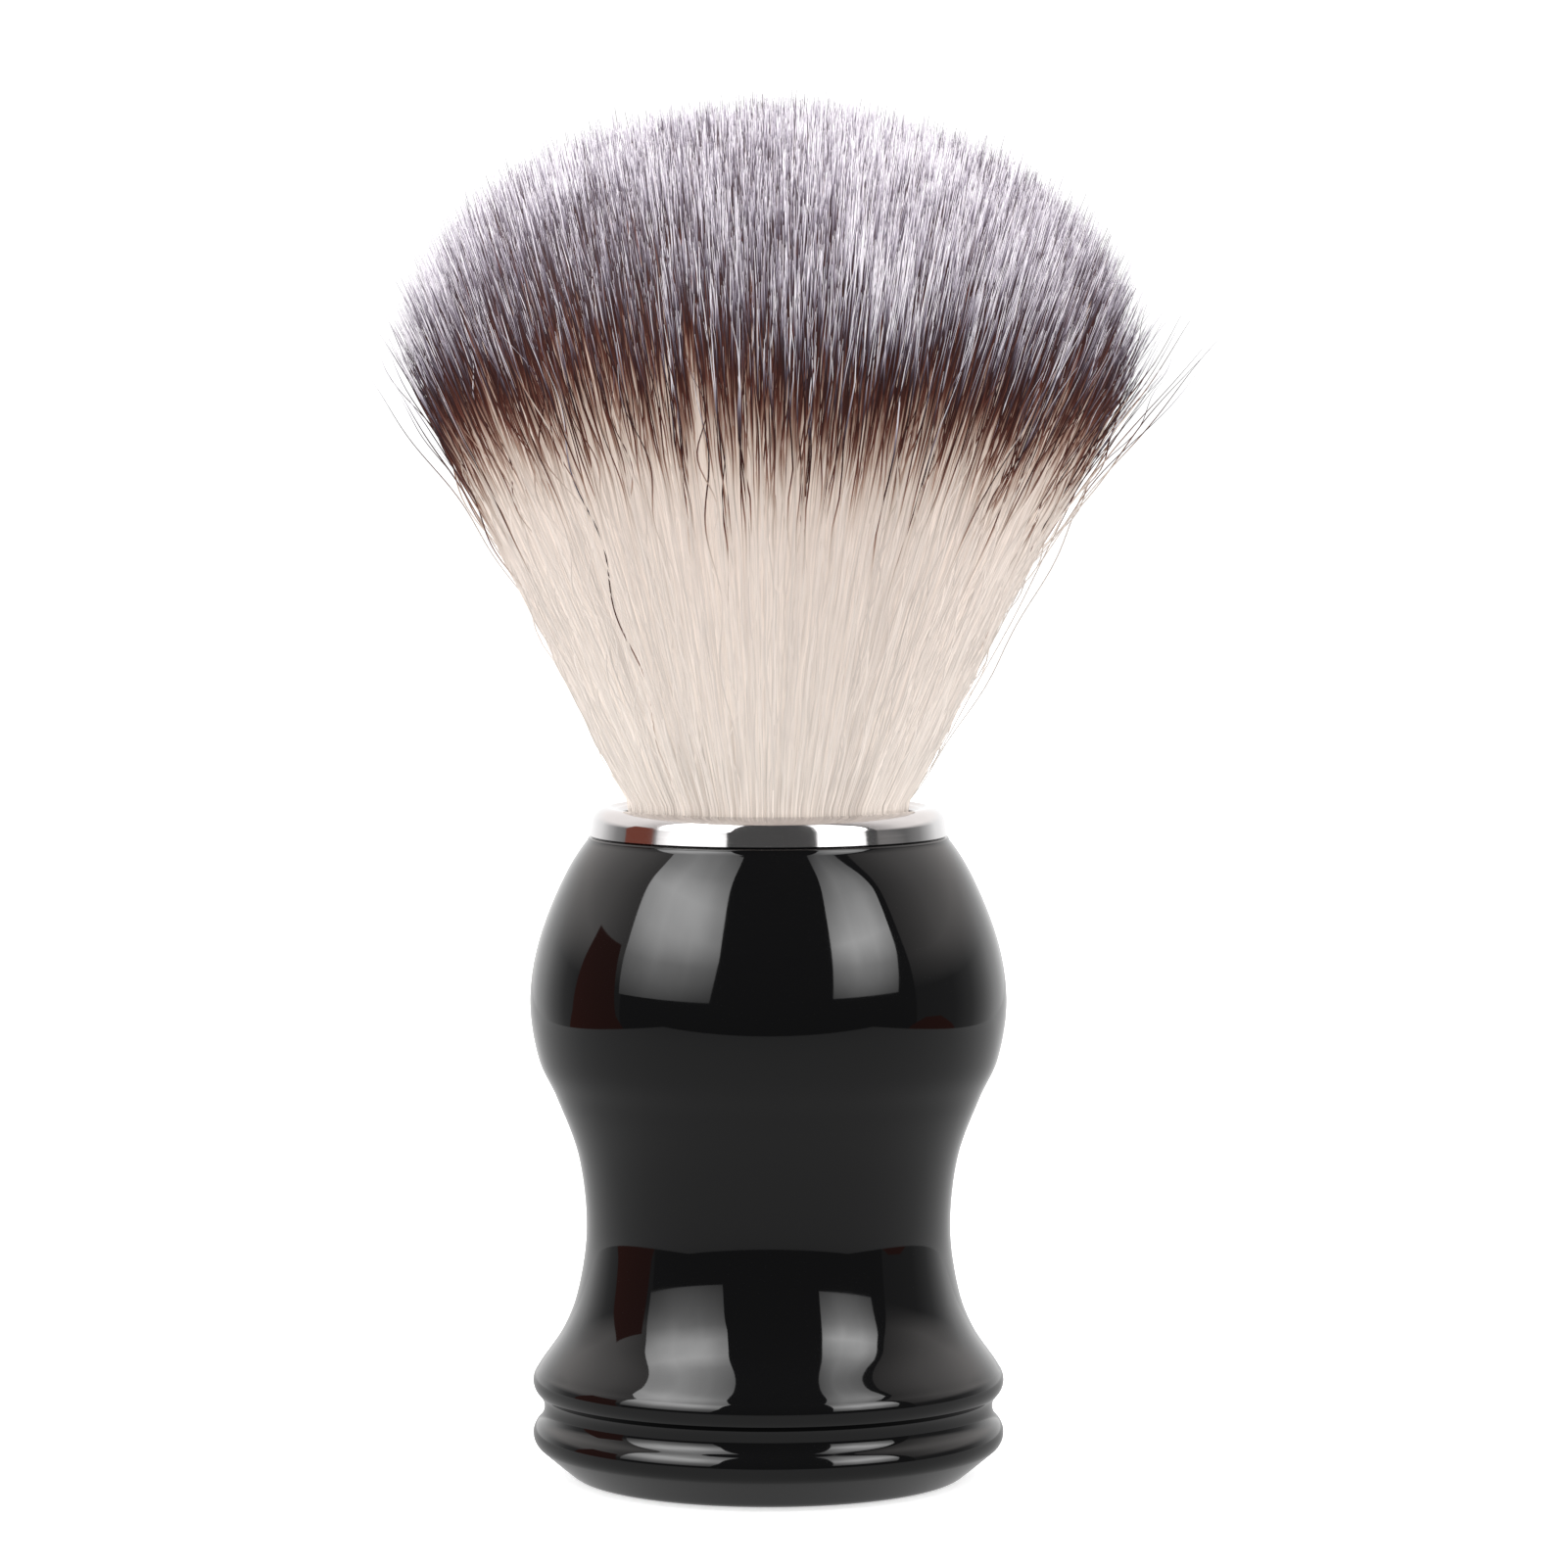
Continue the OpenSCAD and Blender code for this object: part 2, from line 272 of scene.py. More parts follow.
def dyed_fibre_with_root_shade():
    """Synthetic fibre: cream, then a brown band, then a pale lavender tip. The colour reads only the fibres'
    own map, across which each fibre has a column of its own shade, so that the exported model keeps it."""
    made, tree, shader = new_material("dyed_fibre_with_root_shade")
    on_map = add(tree, "ShaderNodeUVMap", {"uv_map": FIBRE_MAP})
    parts = add(tree, "ShaderNodeSeparateXYZ", Vector=on_map.outputs[0])
    column = calc(tree, "FLOOR", calc(tree, "MULTIPLY", parts.outputs[0], float(SHADE_COLUMNS)))
    along = parts.outputs[1]
    apart = calc(tree, "MULTIPLY", column, 3.7)
    down = calc(tree, "MULTIPLY", along, 9.0)
    spot = add(tree, "ShaderNodeCombineXYZ", X=apart, Y=down).outputs[0]
    uneven = add(tree, "ShaderNodeTexNoise", {"noise_dimensions": "2D"}, Vector=spot, Scale=1.0, Detail=1.0)
    drift = uneven.outputs["Fac"]
    dye_and_root_shade = ramp(tree, along, [
        # The first two stops are painted shade: they darken the cream over its last few millimetres towards
        # the collar, where the roots lie in shade.
        (band(38.5), (0.68, 0.605, 0.55)),
        (band(36), (0.81, 0.73, 0.665)),
        (band(33), (0.86, 0.775, 0.71)),
        (band(14.5), (0.82, 0.72, 0.655)),
        (band(11.2), (0.64, 0.53, 0.46)),
        (band(9.5), (0.34, 0.215, 0.165)),
        (band(7.9), (0.115, 0.040, 0.029)),
        (band(6.3), (0.050, 0.016, 0.012)),
        (band(4.0), (0.026, 0.011, 0.011)),
        (band(3.2), (0.036, 0.023, 0.028)),
        (band(2.4), (0.068, 0.054, 0.071)),
        (band(1.5), (0.185, 0.160, 0.200)),
        (band(0.6), (0.45, 0.412, 0.467)),
        (band(0), (0.80, 0.765, 0.80)),
    ])
    one_shade = add(tree, "ShaderNodeTexWhiteNoise", {"noise_dimensions": "1D"}, W=column).outputs["Value"]
    own_level = spread(tree, one_shade, 0, 1, 0.86, 1.07)
    level = calc(tree, "ADD", own_level, spread(tree, drift, 0.3, 0.7, -0.05, 0.04))
    grey = add(tree, "ShaderNodeCombineColor", Red=level, Green=level, Blue=level).outputs[0]
    feed(tree, shader.inputs["Base Color"], mix(tree, 1.0, dye_and_root_shade, grey, "MULTIPLY"))
    feed(tree, shader.inputs["Roughness"], spread(tree, drift, 0.3, 0.7, 0.38, 0.55))
    shader.inputs["Specular IOR Level"].default_value = 0.22
    return made


# ---------------------------------------------------------------- turned pieces

SAME_RING = 0.004 * MM       # points of a turned mesh that are closer than this lie on one ring


def outline(node):
    """The corners of a turned CAD node's half section, in order, as [radius, height], and whether it is
    closed. They are read off the rings of its mesh."""
    mesh = nodes[node].data
    points = np.array([v.co for v in mesh.vertices])
    corners = np.column_stack([np.hypot(points[:, 0], points[:, 1]), points[:, 2]])
    rings = []
    for corner in np.unique(corners.round(6), axis=0):
        if all(abs(corner - ring).max() > SAME_RING for ring in rings):
            rings.append(corner)
    rings = np.array(rings)
    ring_of = abs(corners[:, None] - rings).max(axis=2).argmin(axis=1)
    beside = {i: set() for i in range(len(rings))}
    for edge in mesh.edges:
        a, b = (int(ring_of[v]) for v in edge.vertices)
        if a != b:
            beside[a].add(b)
            beside[b].add(a)
    ends = [i for i in beside if len(beside[i]) == 1]
    walk = [ends[0] if ends else 0]
    while True:
        onward = [i for i in beside[walk[-1]] if i not in walk]
        if not onward:
            break
        walk.append(onward[0])
    around = rings[walk]
    if ends:
        around = np.vstack([[0, around[0, 1]], around, [0, around[-1, 1]]])
    return around, not ends


CORNER = math.radians(24)    # the outline's turn at a point from which it counts as a corner


def rounded(points, closed, steps):
    """The outline with smooth curves drawn through its points, except at corners."""
    count = len(points)

    def at(i):
        return points[i % count] if closed else points[min(max(i, 0), count - 1)]

    def is_corner(i):
        before, after = at(i) - at(i - 1), at(i + 1) - at(i)
        if not (np.linalg.norm(before) and np.linalg.norm(after)):
            return True
        turn = math.atan2(before[1], before[0]) - math.atan2(after[1], after[0])
        return abs(math.remainder(turn, math.tau)) > CORNER

    made = []
    for i in range(count if closed else count - 1):
        start, end = at(i), at(i + 1)
        reach = np.linalg.norm(end - start)
        before = start - (end - start) if is_corner(i) else at(i - 1)
        after = end + (end - start) if is_corner(i + 1) else at(i + 2)
        way_in = (end - before) / np.linalg.norm(end - before) * reach
        way_out = (after - start) / np.linalg.norm(after - start) * reach
        straight = is_corner(i) and is_corner(i + 1)
        for k in range(1 if straight else steps):
            t = k / steps
            made.append((2 * t ** 3 - 3 * t ** 2 + 1) * start + (t ** 3 - 2 * t ** 2 + t) * way_in
                        + (3 * t ** 2 - 2 * t ** 3) * end + (t ** 3 - t ** 2) * way_out)
    if not closed:
        made.append(at(count - 1))
    return np.array(made)


def mesh_piece(name, points, faces, material, body=None, slot=None):
    """A smooth-shaded piece from points and faces, riding on a body where one is given."""
    mesh = bpy.data.meshes.new(name)
    mesh.from_pydata([tuple(p) for p in points], [], faces)
    mesh.polygons.foreach_set("use_smooth", [True] * len(mesh.polygons))
    mesh.set_sharp_from_angle(angle=math.radians(35))
    mesh.materials.append(material)
    made = bpy.data.objects.new(name, mesh)
    bpy.context.scene.collection.objects.link(made)
    if body:
        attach(made, body)
    return made


def turned(name, profile, closed, segments, material, **facts):
    """A piece of revolution. An open profile starts and ends on the axis."""
    points, faces = [], []
    first = []
    for radius, height in profile:
        first.append(len(points))
        if radius < 1e-7:
            points.append((0, 0, height))
            continue
        for k in range(segments):
            angle = math.tau * k / segments
            points.append((radius * math.cos(angle), radius * math.sin(angle), height))
    for i in range(len(profile) if closed else len(profile) - 1):
        j = (i + 1) % len(profile)
        on_axis = profile[i][0] < 1e-7, profile[j][0] < 1e-7
        for k in range(segments):
            n = (k + 1) % segments
            if on_axis[0]:
                faces.append((first[i], first[j] + k, first[j] + n))
            elif on_axis[1]:
                faces.append((first[i] + k, first[j], first[i] + n))
            else:
                faces.append((first[i] + k, first[j] + k, first[j] + n, first[i] + n))
    if winds_inward(profile):
        faces = [face[::-1] for face in faces]
    return mesh_piece(name, points, faces, material, **facts)


def winds_inward(profile):
    """Whether the faces of a turned piece with this outline would look into it."""
    following = np.roll(profile, -1, axis=0)
    area = np.sum(profile[:, 0] * following[:, 1] - following[:, 0] * profile[:, 1])
    return area > 0


def turned_like(name, node, material, slot, segments, steps):
    """A smooth turned piece in place of a CAD node of the same outline."""
    corners, closed = outline(node)
    made = turned(name, rounded(corners, closed, steps), closed, segments, material, body="handle", slot=slot)
    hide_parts(node)
    return made


# ---------------------------------------------------------------- fibres


def fan_radius(z):
    """Radius of the bundle's outside at a height, straight above the dome's rim."""
    t = (z - COLLAR_CREST_Z) / (RIM_Z - COLLAR_CREST_Z)
    s = np.clip(t, 0, 1) ** 2 * (3 - 2 * np.clip(t, 0, 1))
    flat = np.maximum((1 - FAN_BEND) * t + FAN_BEND * s, 0)
    pinch = THROAT_PINCH * np.exp(-np.maximum(z - COLLAR_CREST_Z, 0) / PINCH_REACH)
    return THROAT_R + (FAN_R - THROAT_R) * flat - pinch


def dome_height(share):
    """Height of the dome at a share of the fan's radius."""
    return RIM_Z + DOME_H * np.sqrt(np.clip(1 - share ** 2, 0, 1))


def share_low_down(share, tip_z):
    """The share of the fan's radius that a fibre keeps all the way up, so that its tip comes out in place."""
    return share * np.minimum(FAN_R / fan_radius(tip_z), 1)


def smooth(t):
    """0 up to t = 0, 1 from t = 1, and a smooth rise between."""
    t = np.clip(t, 0, 1)
    return t * t * (3 - 2 * t)


def nearest_clump(tips, spacing, rng):
    """The centre of the clump that each tip belongs to, from a jittered grid of centres."""
    half = int(math.ceil(FAN_R / spacing)) + 2
    centres = (rng.random((2 * half + 1, 2 * half + 1, 2)) - 0.5) * 0.9
    cell = np.rint(tips / spacing).astype(int)
    best, found = np.full(len(tips), np.inf), np.zeros_like(tips)
    for dx in (-1, 0, 1):
        for dy in (-1, 0, 1):
            near = cell + (dx, dy)
            inside = np.clip(near + half, 0, 2 * half)
            centre = (near + centres[inside[:, 0], inside[:, 1]]) * spacing
            gap = np.linalg.norm(centre - tips, axis=1)
            closer = gap < best
            best[closer], found[closer] = gap[closer], centre[closer]
    return found


def patchwork(centres, rates, phases):
    """A value from -1 to 1 that differs from one clump to the next. rates are in radians a metre."""
    return np.sin(centres[:, 0] * rates[0] + phases[0]) * np.sin(centres[:, 1] * rates[1] + phases[1])


# How much nearer to the tip the dark band lies than on most fibres, and the share of the fibres it goes for.
BAND_MOVES = {2 * MM: 0.05, 0: 0.82, -2 * MM: 0.09, -5 * MM: 0.04}
TIP_ABOVE = 0.3 * MM          # the longest fibres reach this far out of the dome
TIP_BELOW = 0.65 * MM         # and most end one to three times this far below it
LEAN = 0.5 * MM               # sideways scatter of the tips
WAVE = 0.10 * MM              # sideways swing of a fibre
PITCH = (7 * MM, 12 * MM)     # length of one swing
SWAY_REACH = 6 * MM           # the collar holds the fibres straight, and they swing in full this far above it
DYE_SCATTER = 0.9 * MM
FIBRE_RADIUS = (0.060 * MM, 0.078 * MM)
TUFT_DYE = 3.2                # how much more a clump's dye is shifted than its tips are
# How far a fibre is shaded like the surface of the whole bundle instead of like a rod. Light passes through
# the real fibres, so one is nearly as bright at its edges as at its middle.
FLATTENED = 0.79
ROUND_EDGE = 8 * MM           # that surface turns up over the dome from this far below its rim
SIDE_DROP = 0.35              # and looks this much down along the side of the fan
TIP_TAPER = 7 * MM            # length over which a fibre narrows to its tip
# What makes a stray of a fibre
STRAY_WAVINESS = 2.6
STRAY_PITCH = (6.5 * MM, 12 * MM)
STRAY_SPLAY, STRAY_SPLAY_MOST = 0.9 * MM, 3.6 * MM
STRAY_LEAVES_Z = (SPLIT_Z, 80 * MM)
STRAY_RISE = (-4 * MM, 0.8 * MM)


class Fibres:
    """A set of fibres, each with a place in the root disc, a tip on the dome and waves of its own."""

    def __init__(self, count, inner, outer, rng):
        self.rng = rng
        self.count = count
        self.share = np.sqrt(rng.uniform(inner ** 2, outer ** 2, count))
        self.angle = rng.uniform(0, math.tau, count)
        self.tip_z = dome_height(self.share) + TIP_ABOVE - rng.gamma(2, TIP_BELOW, count)
        self.lean = rng.normal(0, LEAN, (count, 2))
        self.wave = rng.normal(0, WAVE, (count, 2))
        self.pitch = rng.uniform(*PITCH, count)
        self.splay = np.zeros(count)
        self.splay_from = np.full(count, SPLIT_Z)
        self.bow = np.zeros(count)
        self.phase = rng.uniform(0, math.tau, count)
        self.column = rng.integers(0, SHADE_COLUMNS, count)
        self.dye_shift = rng.normal(0, DYE_SCATTER, count) + self.dye_patches()
        self.dye_shift += rng.choice(list(BAND_MOVES), count, p=list(BAND_MOVES.values()))
        self.dye_stretch = np.ones(count)
        self.thick = rng.uniform(*FIBRE_RADIUS, count)
        self.pull = np.zeros((count, 2))

    def dye_patches(self):
        """How much higher the band lies on the fibres in some parts of the bundle than in others."""
        waves = 1.1 * MM * np.cos(3 * self.angle) + 0.4 * MM * np.sin(11 * self.angle)
        return waves * self.share ** 2

    def facing(self):
        """Each fibre's outward direction, seen from above."""
        return np.column_stack([np.cos(self.angle), np.sin(self.angle)])

    def clump(self, spacing, strength, rise):
        """Draws the tips together in clumps, some tighter than others, that also differ in height and dye."""
        tips = self.facing() * (self.share * FAN_R)[:, None]
        centres = nearest_clump(tips, spacing, self.rng)
        tightness = 0.5 + 0.5 * patchwork(centres, (5300, 4100), (0.7, 2.1))
        self.pull += (centres - tips) * (strength * (0.55 + 0.45 * tightness))[:, None]
        self.tip_z += patchwork(centres, (2900, 3700), (1.3, 0.4)) * rise
        self.dye_shift += (tightness - 0.5) * TUFT_DYE * rise

    def gather(self):
        """Small clumps of a few fibres, and looser ones of many."""
        self.clump(spacing=1.3 * MM, strength=0.95, rise=0.75 * MM)
        self.clump(spacing=4.6 * MM, strength=0.12, rise=0.7 * MM)

    def only(self, chosen):
        """The chosen ones of these fibres."""
        kept = copy.copy(self)
        for name, value in vars(self).items():
            if isinstance(value, np.ndarray):
                setattr(kept, name, value[chosen])
        kept.count = int(chosen.sum())
        return kept

    def stray(self):
        """Makes the fibres strays: wavy, and splayed out of the bundle."""
        self.wave *= STRAY_WAVINESS
        self.pitch = self.rng.uniform(*STRAY_PITCH, self.count)
        self.splay = np.minimum(self.rng.exponential(STRAY_SPLAY, self.count), STRAY_SPLAY_MOST)
        self.splay_from = self.rng.uniform(*STRAY_LEAVES_Z, self.count)
        self.tip_z += self.rng.uniform(*STRAY_RISE, self.count)

    def outward(self, z):
        """The way that the bundle's own surface faces at each point of the fibres."""
        on_dome = smooth((z - RIM_Z + ROUND_EDGE) / (DOME_H + ROUND_EDGE))
        level = self.share[:, None] * np.ones_like(z)
        away = np.stack([level * self.facing()[:, 0, None], level * self.facing()[:, 1, None],
                         -SIDE_DROP + (1 + SIDE_DROP) * on_dome], axis=2)
        return away / np.linalg.norm(away, axis=2, keepdims=True)

    def at(self, z):
        """The fibres' points at heights z, one row a fibre, as x, y, z. The powers keep the lower parts of
        the fibres straight and leave the bending to the part near the tip."""
        radius = share_low_down(self.share, self.tip_z)[:, None] * fan_radius(z)
        towards_tip = np.clip((z - SPLIT_Z) / (self.tip_z[:, None] - SPLIT_Z), 0, 1)
        sway = np.sin(math.tau * z / self.pitch[:, None] + self.phase[:, None])
        sway_start = smooth((z - COLLAR_CREST_Z) / SWAY_REACH)
        splayed = np.clip((z - self.splay_from[:, None]) / (self.tip_z - self.splay_from)[:, None], 0, 1)
        bowed = np.clip((z - COLLAR_CREST_Z) / (self.tip_z[:, None] - COLLAR_CREST_Z), 0, 1)
        radius = radius + self.splay[:, None] * splayed ** 1.3 + self.bow[:, None] * np.sin(math.pi * bowed)
        points = []
        for axis in (0, 1):
            along = radius * self.facing()[:, axis, None]
            along += self.lean[:, axis, None] * towards_tip ** 2
            along += self.pull[:, axis, None] * towards_tip ** 2.5
            along += self.wave[:, axis, None] * sway * sway_start
            points.append(along)
        return np.stack([*points, np.broadcast_to(z, radius.shape)], axis=2)


def heights(low, high, steps):
    """Heights from low to high for each fibre. low and high may be numbers or one value a fibre."""
    t = np.linspace(0, 1, steps + 1)
    low, high = np.atleast_1d(low), np.atleast_1d(high)
    return low[:, None] + (high - low)[:, None] * t


def around(fibres):
    """The angles of each fibre's three sides."""
    return fibres.phase[:, None, None] + math.tau * np.arange(3) / 3


def tube_points(fibres, z, pointed):
    """The corners of the fibres' tubes, by fibre, height and side."""
    below_tip = fibres.tip_z[:, None] - z
    taper = np.clip(0.2 + 0.8 * below_tip / TIP_TAPER, 0.2, 1) if pointed else np.ones_like(z)
    radius = (fibres.thick[:, None] * taper)[:, :, None]
    points = np.repeat(fibres.at(z)[:, :, None, :], 3, axis=2)
    points[..., 0] += radius * np.cos(around(fibres))
    points[..., 1] += radius * np.sin(around(fibres))
    return points


def tube_faces(count, rings):
    """The tubes' sides, and then the triangles that close their roots and tips, as numbers of corners."""
    first = (np.arange(count) * rings * 3)[:, None, None]
    ring = (np.arange(rings - 1) * 3)[None, :, None]
    side, following = np.arange(3), (np.arange(3) + 1) % 3
    quads = np.stack([first + ring + side, first + ring + following,
                      first + ring + 3 + following, first + ring + 3 + side], axis=3).reshape(-1, 4)
    roots = first[:, 0] + [2, 1, 0]
    tips = first[:, 0] + (rings - 1) * 3 + [0, 1, 2]
    return quads, np.concatenate([roots, tips])


def tube_map(fibres, z):
    """The map's u and v at each corner of the tubes' faces: up the fibre's own column to its tip."""
    below_tip = fibres.tip_z[:, None] - z
    dyed = below_tip * fibres.dye_stretch[:, None] + fibres.dye_shift[:, None]
    along = np.clip(1 - dyed / MAP_SPAN, MAP_EDGE, 1 - MAP_EDGE)
    across = (fibres.column[:, None, None] + 0.1 + 0.8 * np.array([0, 1, 2, 3]) / 3) / SHADE_COLUMNS
    sides = (len(z), z.shape[1] - 1, 3, 4)
    side_u = np.stack([across[..., :3], across[..., 1:], across[..., 1:], across[..., :3]], axis=3)
    side_v = np.stack([along[:, :-1], along[:, :-1], along[:, 1:], along[:, 1:]], axis=2)
    cap_u = np.broadcast_to(across[:, 0, :3], (len(z), 3))
    cap_v = [np.repeat(along[:, end, None], 3, axis=1) for end in (0, -1)]
    u = np.concatenate([np.broadcast_to(side_u, sides).reshape(-1), cap_u.reshape(-1), cap_u.reshape(-1)])
    v = np.concatenate([np.broadcast_to(side_v[:, :, None, :], sides).reshape(-1),
                        cap_v[0].reshape(-1), cap_v[1].reshape(-1)])
    return np.column_stack([u, v])


def tube_normals(fibres, z):
    """The way that each corner of the tubes is shaded: mostly like the bundle, and a little like a rod."""
    turn = np.broadcast_to(around(fibres), (*z.shape, 3))
    like_rod = np.stack([np.cos(turn), np.sin(turn), np.zeros_like(turn)], axis=3)
    facing = FLATTENED * fibres.outward(z)[:, :, None, :] + (1 - FLATTENED) * like_rod
    return facing / np.linalg.norm(facing, axis=3, keepdims=True)


def tubes(name, fibres, z, material, pointed):
    """A piece of closed three-sided tubes along the fibres, at the heights z. A pointed one narrows to its
    tip."""
    z = np.broadcast_to(z, (fibres.count, z.shape[1]))
    points = tube_points(fibres, z, pointed)
    quads, caps = tube_faces(*z.shape)
    corners = np.concatenate([quads.reshape(-1), caps.reshape(-1)])
    starts = np.concatenate([np.arange(len(quads)) * 4, len(quads) * 4 + np.arange(len(caps)) * 3])

    mesh = bpy.data.meshes.new(name)
    mesh.vertices.add(points.size // 3)
    mesh.vertices.foreach_set("co", points.reshape(-1).astype(np.float32))
    mesh.loops.add(len(corners))
    mesh.loops.foreach_set("vertex_index", corners.astype(np.int32))
    mesh.polygons.add(len(starts))
    mesh.polygons.foreach_set("loop_start", starts.astype(np.int32))
    mesh.polygons.foreach_set("use_smooth", np.arange(len(starts)) < len(quads))
    mesh.update(calc_edges=True)
    layer = mesh.uv_layers.new(name=FIBRE_MAP)
    layer.uv.foreach_set("vector", tube_map(fibres, z).reshape(-1).astype(np.float32))
    mesh.normals_split_custom_set_from_vertices(tube_normals(fibres, z).reshape(-1, 3))
    mesh.materials.append(material)

    made = bpy.data.objects.new(name, mesh)
    bpy.context.scene.collection.objects.link(made)
    made.visible_shadow = False
    return made


def bend_low(piece):
    """Bakes the piece's placement into its mesh."""
    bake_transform(piece)


def bend_high(piece):
    """Bakes the piece's placement into its mesh."""
    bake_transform(piece)


OUTER_FIBRES = 14000
INNER_FIBRES = 24800
OUTER_FROM = 0.76             # share of the fan's radius from which the fibres are drawn down to the cut
LOW_FROM = 0.86               # and from which they are drawn on down to the collar
INNER_SHOWN = 11 * MM         # length drawn of the fibres inside that
OUTER_PARTS, INNER_PARTS = 5, 4
HIGH_STEPS, LOW_STEPS, INNER_STEPS = 11, 8, 5                   # lengths that a fibre is drawn in
STRAY_HIGH_STEPS, STRAY_LOW_STEPS = 34, 16
STRAY_FIBRES = 480
FAR_DYED_AT = np.radians([15, 80, 140, 233, 345])     # strays dyed far down, dark against the cream
FAR_DYED = len(FAR_DYED_AT)
FAR_DYED_STRETCH = 0.46
RUFFLED = 90                  # strays on the one side where the bundle is ruffled most
RUFFLED_SIDE, RUFFLED_SPREAD = math.radians(-8), 0.35
RUFFLED_SPLAY = 2.2           # times the splay of the other strays
BOWED = 4                     # strays that bow clear of the bundle from the collar up
BOW = (0.9 * MM, 2.2 * MM)


def make_fibres(material):
    """The whole bundle, in pieces small enough for the export."""
    rng = np.random.default_rng(SEED)
    made = []
    for part in range(OUTER_PARTS):
        fibres = Fibres(OUTER_FIBRES // OUTER_PARTS, OUTER_FROM, 1, rng)
        fibres.gather()
        high_z = heights(SPLIT_Z, fibres.tip_z, HIGH_STEPS)
        high = tubes(f"fibres_outer_high_{part + 1}", fibres, high_z, material, True)
        near = fibres.only(fibres.share > LOW_FROM)
        low_z = heights(FIBRE_FOOT_Z, SPLIT_Z, LOW_STEPS)
        low = tubes(f"fibres_outer_low_{part + 1}", near, low_z, material, False)
        bend_high(high)
        bend_low(low)
        made += [high, low]
    for part in range(INNER_PARTS):
        fibres = Fibres(INNER_FIBRES // INNER_PARTS, 0, OUTER_FROM, rng)
        fibres.gather()
        high_z = heights(fibres.tip_z - INNER_SHOWN, fibres.tip_z, INNER_STEPS)
        high = tubes(f"fibres_inner_high_{part + 1}", fibres, high_z, material, True)
        bend_high(high)
        made.append(high)
    strays = Fibres(STRAY_FIBRES, 0.985, 1, rng)
    strays.stray()
    strays.dye_stretch[:FAR_DYED] = FAR_DYED_STRETCH
    strays.angle[:FAR_DYED] = FAR_DYED_AT
    strays.bow[FAR_DYED:FAR_DYED + BOWED] = rng.uniform(*BOW, BOWED)
    strays.angle[FAR_DYED:FAR_DYED + RUFFLED] = rng.normal(RUFFLED_SIDE, RUFFLED_SPREAD, RUFFLED)
    strays.splay[FAR_DYED:FAR_DYED + RUFFLED] *= RUFFLED_SPLAY
    high_z = heights(SPLIT_Z, strays.tip_z, STRAY_HIGH_STEPS)
    high = tubes("fibres_stray_high", strays, high_z, material, True)
    low_z = heights(FIBRE_FOOT_Z, SPLIT_Z, STRAY_LOW_STEPS)
    low = tubes("fibres_stray_low", strays, low_z, material, False)
    bend_high(high)
    bend_low(low)
    return made + [high, low] + make_core(material)


CORE_TOP_SHARE = 0.85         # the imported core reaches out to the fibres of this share
CORE_SHARE = float(share_low_down(CORE_TOP_SHARE, dome_height(CORE_TOP_SHARE)))
CORE_DEPTH = 5 * MM           # below the tips, so that no cream shows between them from above
CORE_PALER = 2.5 * MM         # it is dyed as this much nearer the tips, for the fibres that aren't drawn
CORE_IN_CORD = 1.2 * MM       # it passes this far inside the binding cord's outer edge
CORE_WIDENS = 18 * MM         # height over which it widens from there to the fan
CORE_COLUMNS = 3 * SHADE_COLUMNS


def core_radius(z):
    """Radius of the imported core, which passes inside the binding cord before it widens with the fan."""
    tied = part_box("binding_cord")[1].x - CORE_IN_CORD
    return tied + (CORE_SHARE * fan_radius(z) - tied) * smooth((z - FIBRE_FOOT_Z) / CORE_WIDENS)


def make_core(material):
    """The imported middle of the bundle, under the drawn fibres, in the two lengths that they are cut into."""
    foot_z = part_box("bristle_roots")[0].z
    shares = CORE_TOP_SHARE * np.cos(np.linspace(0, math.pi / 2, 12))[:-1]
    tips_z = dome_height(shares)
    dome_z = tips_z - CORE_DEPTH
    dome = np.column_stack([share_low_down(shares, tips_z) * fan_radius(dome_z), dome_z])
    low_side = [(core_radius(z), z) for z in np.linspace(foot_z, SPLIT_Z, 10)]
    high_side = [(core_radius(z), z) for z in np.linspace(SPLIT_Z, dome[0, 1], 8)[:-1]]
    known_shares = np.linspace(0, 1, 60)
    known_low_down = share_low_down(known_shares, dome_height(known_shares))
    made = []
    for name, profile, bend in (
        ("bundle_core_low", [(0, foot_z), *low_side, (0, SPLIT_Z)], bend_low),
        ("bundle_core_high", [(0, SPLIT_Z), *high_side, *dome, (0, TOP_Z - CORE_DEPTH)], bend_high),
    ):
        piece = turned(name, np.array(profile), False, CORE_COLUMNS, material, slot="fibre_cream")
        layer = piece.data.uv_layers.new(name=FIBRE_MAP)
        for face in piece.data.polygons:
            for step, loop in enumerate(face.loop_indices):
                x, y, z = piece.data.vertices[piece.data.loops[loop].vertex_index].co
                share = np.interp(math.hypot(x, y) / fan_radius(z), known_low_down, known_shares)
                below = float(dome_height(share)) - z - CORE_PALER
                column = (face.index % SHADE_COLUMNS + 0.2 + 0.6 * (step in (1, 2))) / SHADE_COLUMNS
                layer.uv[loop].vector = (column, min(max(1 - below / MAP_SPAN, MAP_EDGE), 1 - MAP_EDGE))
        bend(piece)
        made.append(piece)
    return made


# ---------------------------------------------------------------- stage and light

STUDIO_CENTRE = Vector((0, 0, 40 * MM))


def direction(azimuth, elevation):
    """The unit vector that points that way from the brush, in degrees. Azimuth 0 is towards the camera, and
    90 to its right."""
    a, e = math.radians(azimuth), math.radians(elevation)
    return Vector((math.sin(a) * math.cos(e), -math.cos(a) * math.cos(e), math.sin(e)))


